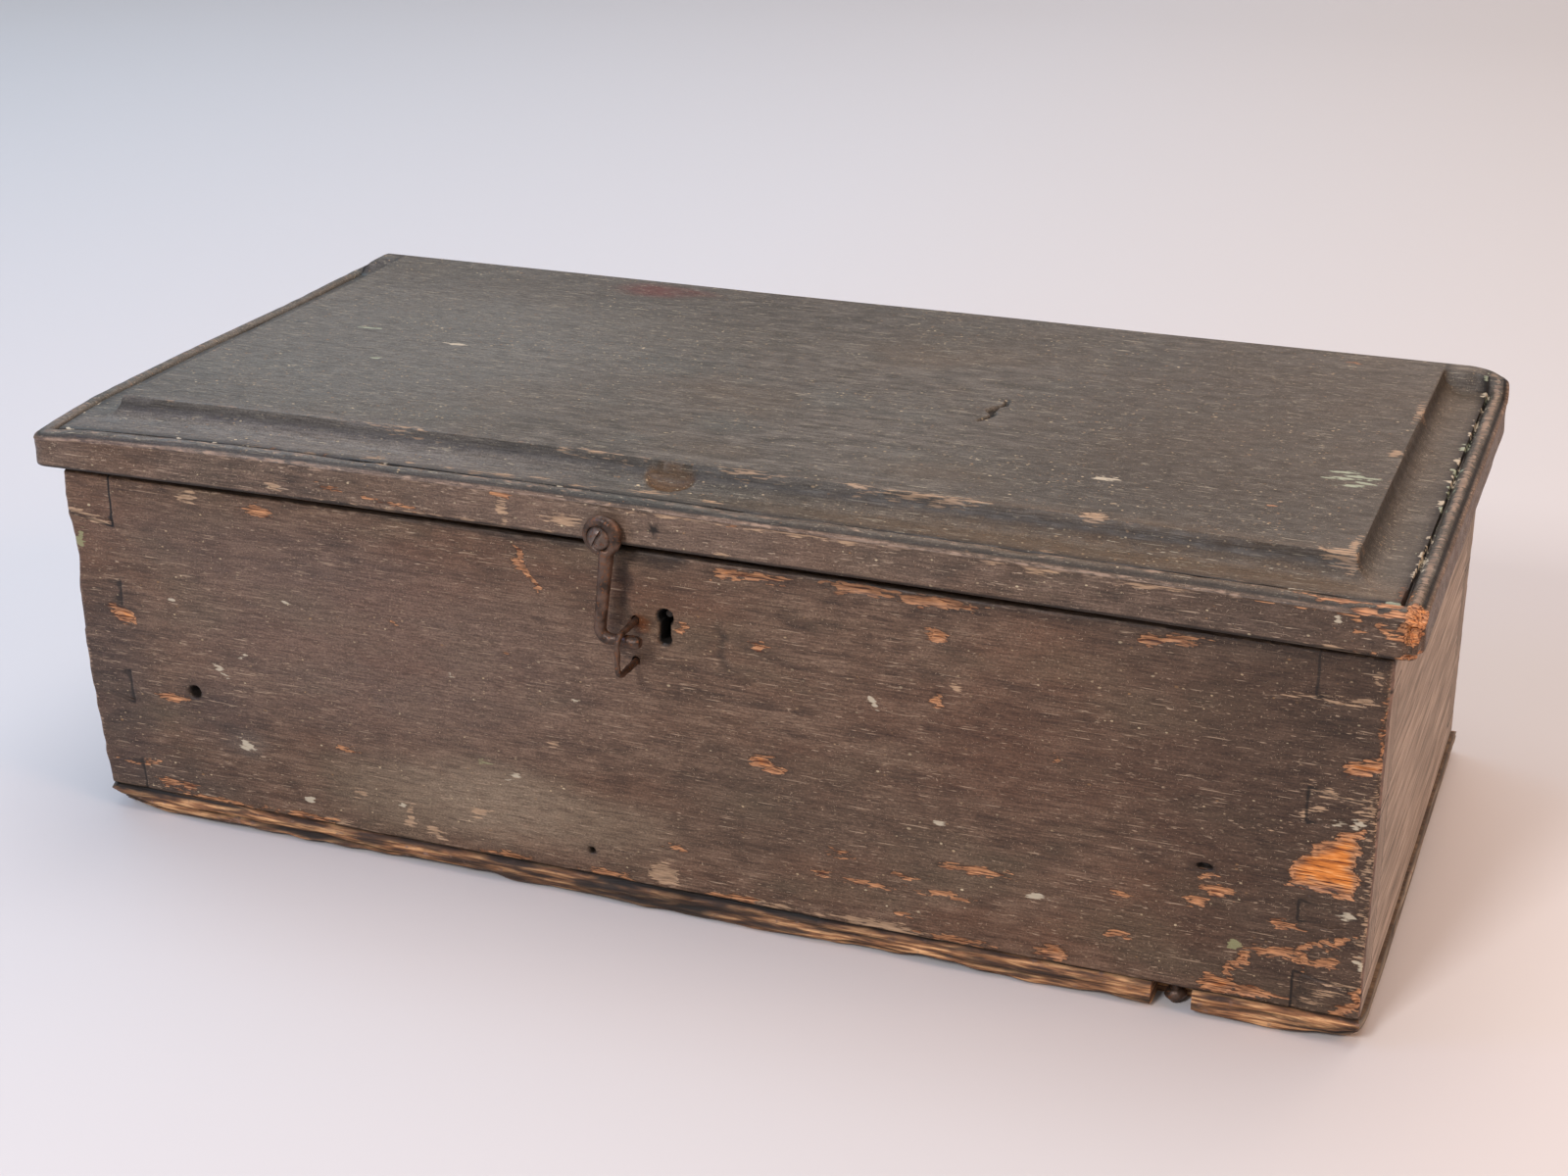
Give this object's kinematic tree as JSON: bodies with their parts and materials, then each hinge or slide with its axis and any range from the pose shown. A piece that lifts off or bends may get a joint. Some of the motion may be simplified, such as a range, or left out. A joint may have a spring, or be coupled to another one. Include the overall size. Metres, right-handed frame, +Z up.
{
  "type": "antique tool chest",
  "caption": "Small dovetailed pine tool chest with a moulded lid on butt hinges, a wrought hook and staple at the front, and a box lock behind a plain keyhole.",
  "frame": {"origin": "centre of the underside of the bottom board, on the surface that the chest stands on", "axes": "+X to the right along the chest's length seen from the front, +Y from the front to the hinges at the back, +Z up"},
  "size_m": [0.397, 0.2028, 0.1294],
  "materials": {
    "painted_pine": "worn dark brown paint over pine",
    "painted_lid": "worn green-grey paint over pine",
    "bare_pine": "bare weathered pine",
    "worn_pine": "eroded and stained pine",
    "rusty_iron": "rust-brown wrought iron",
    "steel_screw": "worn dark steel",
    "lock_iron": "dark iron with light rust"
  },
  "bodies": {
    "chest": {"bottom_board": "worn_pine", "front_board": "painted_pine", "back_board": "painted_pine", "left_end_board": "bare_pine", "right_end_board": "bare_pine", "bottom_nails": "rusty_iron", "left_hinge_chest_leaf": "rusty_iron", "right_hinge_chest_leaf": "rusty_iron", "left_hinge_pin": "rusty_iron", "right_hinge_pin": "rusty_iron", "hinge_chest_screws": "steel_screw", "hook_staple": "rusty_iron", "lock_plate": "lock_iron", "lock_case": "lock_iron", "lock_spring": "lock_iron", "lock_key_pin": "lock_iron", "lock_screws": "steel_screw"},
    "lid": {"lid_board": "painted_lid", "left_hinge_lid_leaf": "rusty_iron", "right_hinge_lid_leaf": "rusty_iron", "hinge_lid_screws": "steel_screw", "hook_screw": "steel_screw", "lid_strike": "lock_iron", "strike_screws": "steel_screw"},
    "hook": {"hook": "rusty_iron"},
    "lock_bolt": {"lock_bolt": "lock_iron"}
  },
  "joints": [
    {"name": "lid_open", "type": "hinge", "parent": "chest", "child": "lid", "pos_m": [0, 0.095, 0.1105], "axis": [-1, 0, 0], "range_deg": [0, 195]},
    {"name": "hook_swing", "type": "hinge", "parent": "lid", "child": "hook", "pos_m": [-0.016, -0.09855, 0.1154], "axis": [0, 1, 0], "range_deg": [0, 170]},
    {"name": "bolt_throw", "type": "slide", "parent": "chest", "child": "lock_bolt", "axis": [1, 0, 0], "range_m": [0, 0.008]}
  ]
}
